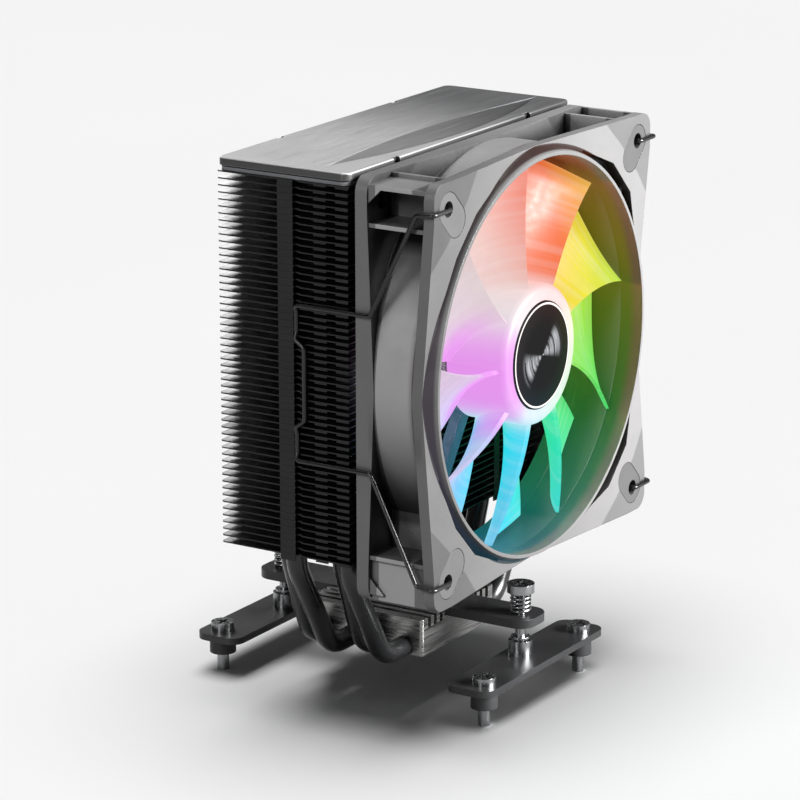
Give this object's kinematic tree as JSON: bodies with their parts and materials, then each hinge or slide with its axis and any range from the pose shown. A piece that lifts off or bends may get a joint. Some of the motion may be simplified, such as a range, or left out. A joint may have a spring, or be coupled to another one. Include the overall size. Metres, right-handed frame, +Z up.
{
  "type": "cpu tower cooler",
  "caption": "Single tower air cooler with heat pipes, black fin stack, brushed top cover, lit axial fan on wire clips and a screw-down bridge.",
  "frame": {"origin": "centre of the cold plate contact face", "axes": "+Z up the tower away from the processor, -Y towards the fan, X along the heat pipes and the wide side of the fins"},
  "size_m": [0.124, 0.101, 0.1635],
  "materials": {
    "cold_plate": "machined aluminium with lapped contact face",
    "pipe": "black coated copper",
    "fin": "black anodised aluminium sheet",
    "cover": "dark brushed sheet metal",
    "cover_plate": "black coated sheet metal",
    "frame": "dark satin moulded plastic",
    "pad": "soft rubber",
    "blade": "milky translucent plastic",
    "hub_disc": "gloss black disc with a spun finish",
    "clip_wire": "blackened spring wire",
    "zinc": "zinc plated steel",
    "bracket": "black coated steel plate",
    "spacer": "black nylon",
    "yoke": "deep drawn steel",
    "magnet": "bonded ferrite",
    "shaft": "ground steel",
    "bronze": "sintered bronze",
    "core": "laminated steel",
    "coil": "enamelled copper wire",
    "board": "circuit board laminate",
    "lamp": "light emitter package",
    "label": "blank silver film"
  },
  "bodies": {
    "tower": {"cold_plate": "cold_plate", "heat_pipe_1": "pipe", "heat_pipe_2": "pipe", "heat_pipe_3": "pipe", "heat_pipe_4": "pipe", "fin_stack": "fin", "cover_plate": "cover_plate", "top_cover": "cover", "mounting_bridge": "bracket", "bridge_screws": "zinc", "screw_spring_front": "zinc", "screw_spring_rear": "zinc", "bracket_front": "bracket", "bracket_rear": "bracket", "threaded_post_front": "zinc", "threaded_post_rear": "zinc", "board_spacers": "spacer", "board_screws": "zinc", "fan_bezel": "frame", "fan_duct": "frame", "fan_rear_frame": "frame", "front_pads": "pad", "rear_pads": "pad", "bearing_sleeve": "bronze", "oil_seal": "pad", "stator_core": "core", "stator_coils": "coil", "circuit_board": "board", "light_emitters": "lamp", "rear_label": "label"},
    "rotor": {"impeller": "blade", "hub_cap": "hub_disc", "rotor_yoke": "yoke", "rotor_magnet": "magnet", "rotor_shaft": "shaft", "shaft_ring": "zinc"},
    "clip_left": {"fan_clip_left": "clip_wire"},
    "clip_right": {"fan_clip_right": "clip_wire"},
    "front_screw_carrier": {"screw_clip_front": "zinc"},
    "front_screw": {"spring_screw_front": "zinc"},
    "rear_screw_carrier": {"screw_clip_rear": "zinc"},
    "rear_screw": {"spring_screw_rear": "zinc"}
  },
  "joints": [
    {"name": "rotor_spin", "type": "hinge", "parent": "tower", "child": "rotor", "pos_m": [0, -0.036, 0.0894], "axis": [0, -1, 0], "continuous": true},
    {"name": "clip_left_swing", "type": "hinge", "parent": "tower", "child": "clip_left", "pos_m": [-0.0525, -0.0485, 0.0894], "axis": [0, 0, 1], "range_deg": [0, 15], "stiffness_Nm_per_rad": 0.06},
    {"name": "clip_right_swing", "type": "hinge", "parent": "tower", "child": "clip_right", "pos_m": [0.0525, -0.0485, 0.0894], "axis": [0, 0, -1], "range_deg": [0, 15], "stiffness_Nm_per_rad": 0.06},
    {"name": "front_screw_lift", "type": "slide", "parent": "tower", "child": "front_screw_carrier", "axis": [0, 0, 1], "range_m": [0, 0.004], "deforming": ["screw_spring_front"]},
    {"name": "front_screw_turn", "type": "hinge", "parent": "front_screw_carrier", "child": "front_screw", "pos_m": [0, -0.041, 0.01], "axis": [0, 0, 1], "range_deg": [0, 2881]},
    {"name": "rear_screw_lift", "type": "slide", "parent": "tower", "child": "rear_screw_carrier", "axis": [0, 0, 1], "range_m": [0, 0.004], "deforming": ["screw_spring_rear"]},
    {"name": "rear_screw_turn", "type": "hinge", "parent": "rear_screw_carrier", "child": "rear_screw", "pos_m": [0, 0.041, 0.01], "axis": [0, 0, 1], "range_deg": [0, 2881]}
  ],
  "couplings": [
    {"joint": "front_screw_turn", "follows": "front_screw_lift", "rad_per_m": 12566},
    {"joint": "rear_screw_turn", "follows": "rear_screw_lift", "rad_per_m": 12566}
  ]
}
